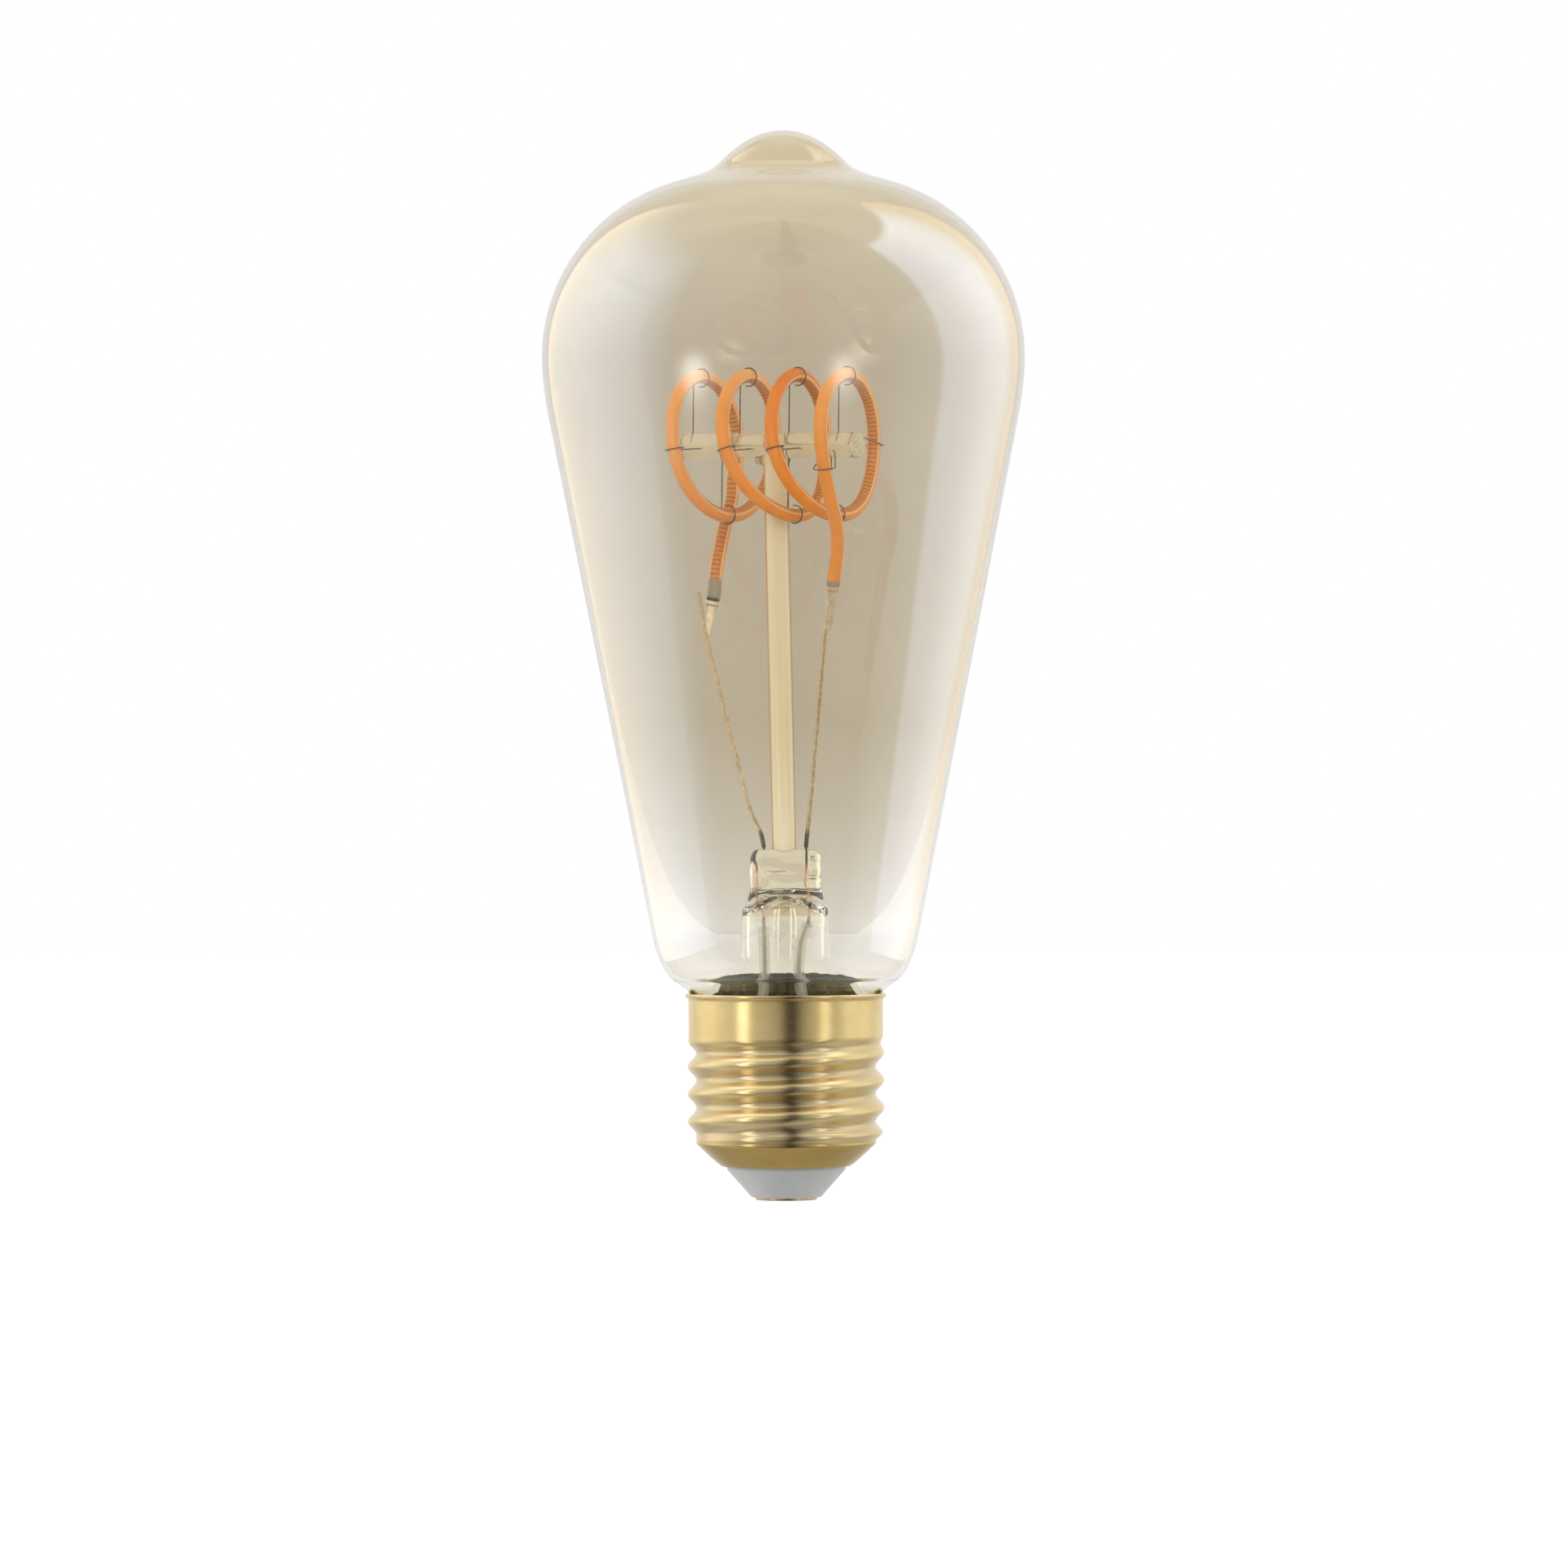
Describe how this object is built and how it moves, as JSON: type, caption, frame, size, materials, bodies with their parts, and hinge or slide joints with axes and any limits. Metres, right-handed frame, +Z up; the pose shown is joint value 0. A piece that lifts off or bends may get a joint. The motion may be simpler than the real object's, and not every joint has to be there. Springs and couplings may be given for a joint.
{
  "type": "smart light bulb",
  "caption": "Pear-shaped amber-tinted filament bulb with a screw cap, a coiled flexible LED filament on a glass stem, and a driver with a radio in the cap.",
  "frame": {"origin": "centre of the underside of the centre contact", "axes": "+Z up the bulb's axis to the glass tip, -Y to the front, +X to the right seen from the front"},
  "size_m": [0.064, 0.064, 0.1415],
  "materials": {
    "tinted_glass": "clear blown glass with a thin amber tint",
    "stem_glass": "clear drawn and pinched lead glass",
    "post_glass": "polished cream glass rod",
    "hook_wire": "dark oxidised molybdenum wire",
    "phosphor_silicone": "satin translucent orange silicone with phosphor",
    "filament_strip": "matt flexible carrier",
    "led_chip": "small dark die",
    "nickel": "drawn nickel-plated wire, warm and dull",
    "copper_clad": "copper-clad seal wire",
    "outer_lead": "tinned copper wire",
    "sleeve": "woven glass-fibre sleeve with varnish",
    "cap_brass": "rolled satin brass with light wear on the crests",
    "contact_brass": "stamped brass, dull",
    "insulator": "moulded pale grey, satin",
    "cement": "set basing cement",
    "potting": "rough dark olive potting compound",
    "circuit_board": "green solder resist",
    "component_sleeve": "shrunk plastic sleeve",
    "ferrite": "matt dark ferrite",
    "resistor_coat": "dull cement coat",
    "package_black": "moulded black",
    "pin_metal": "gold-plated pins",
    "shield_metal": "tinned shield can",
    "antenna_ceramic": "fired white ceramic",
    "wire_red": "insulated wire",
    "wire_black": "insulated wire",
    "solder": "bright solder"
  },
  "bodies": {
    "root": {"glass_envelope": "tinted_glass", "stem_flare": "stem_glass", "stem_press": "stem_glass", "exhaust_tube": "stem_glass", "stem_post": "post_glass", "post_bead": "stem_glass", "crossbar": "post_glass", "top_hook_wires": "hook_wire", "bottom_hook_wires": "hook_wire", "front_hook_wires": "hook_wire", "rear_hook_wires": "hook_wire", "filament_silicone": "phosphor_silicone", "filament_strip": "filament_strip", "led_chips": "led_chip", "filament_terminal_left": "nickel", "filament_terminal_right": "nickel", "lead_wire_left": "nickel", "lead_wire_right": "nickel", "dumet_wire_left": "copper_clad", "dumet_wire_right": "copper_clad", "outer_lead_left": "outer_lead", "outer_lead_right": "outer_lead", "sleeve_left": "sleeve", "sleeve_right": "sleeve", "cap_shell": "cap_brass", "cap_insulator": "insulator", "cap_contact": "contact_brass", "basing_cement": "cement", "potting": "potting", "driver_board": "circuit_board", "bulk_capacitor": "component_sleeve", "inductor": "ferrite", "fusible_resistor": "resistor_coat", "bridge_rectifier": "package_black", "driver_chip": "package_black", "radio_board": "circuit_board", "radio_pins": "pin_metal", "radio_shield": "shield_metal", "chip_antenna": "antenna_ceramic", "centre_contact_wire": "wire_red", "shell_wire": "wire_black", "solder_joints": "solder"}
  },
  "joints": []
}
